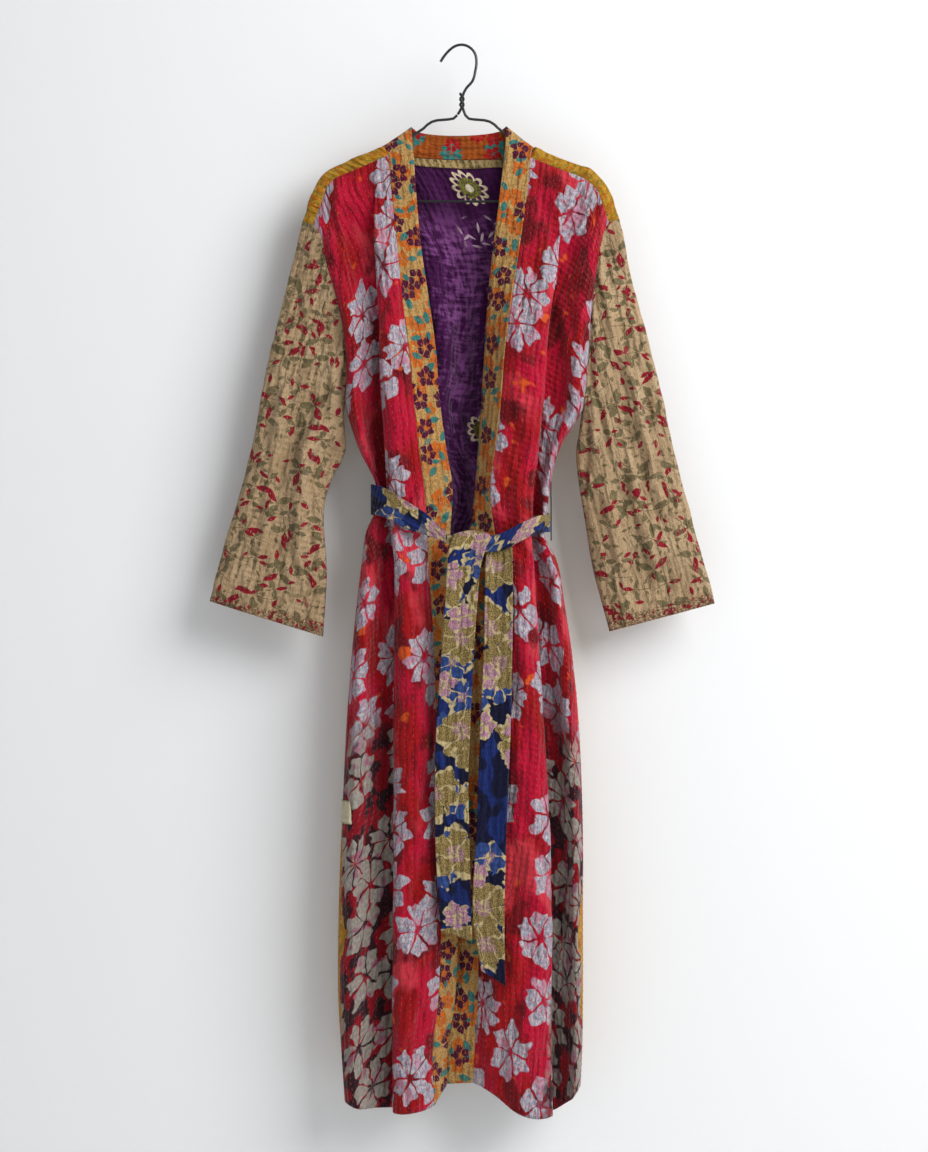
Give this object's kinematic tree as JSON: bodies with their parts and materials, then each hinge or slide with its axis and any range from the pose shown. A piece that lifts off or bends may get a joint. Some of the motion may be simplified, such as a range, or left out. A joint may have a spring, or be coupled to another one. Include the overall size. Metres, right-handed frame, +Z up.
{
  "type": "long kimono on a wire hanger",
  "caption": "Long quilted cotton kimono with wide straight sleeves, a neckband to the hem and a tied belt, hung flat on a thin wire hanger by its hook.",
  "frame": {"origin": "the inside of the hook's crown, where the hanger hangs", "axes": "+Z up, -Y out of the front of the kimono, +X towards the wearer's left sleeve"},
  "size_m": [0.667, 0.1058, 1.4092],
  "materials": {
    "mustard_print": "small orange and green print on mustard cotton, quilted; purple inner face",
    "crimson_print": "pale flowers on crimson cotton, quilted",
    "leaf_print": "red and olive leaves on beige cotton, quilted",
    "band_print": "orange, teal and aubergine flowers on ochre cotton",
    "belt_print": "olive, gold and light blue print on navy cotton",
    "cream_cotton": "plain woven",
    "dark_thread": "thread chain",
    "black_wire": "black coated steel wire"
  },
  "bodies": {
    "root": {"back": "mustard_print", "right_front": "crimson_print", "left_front": "crimson_print", "right_sleeve": "leaf_print", "left_sleeve": "leaf_print", "neckband": "band_print", "neckband_end": "band_print", "neck_binding": "cream_cotton", "belt_waist": "belt_print", "belt_knot": "belt_print", "belt_tail_right": "belt_print", "belt_tail_left": "belt_print", "belt_loop": "dark_thread", "label": "cream_cotton", "hanger_hook": "black_wire", "hanger_frame": "black_wire"}
  },
  "joints": []
}
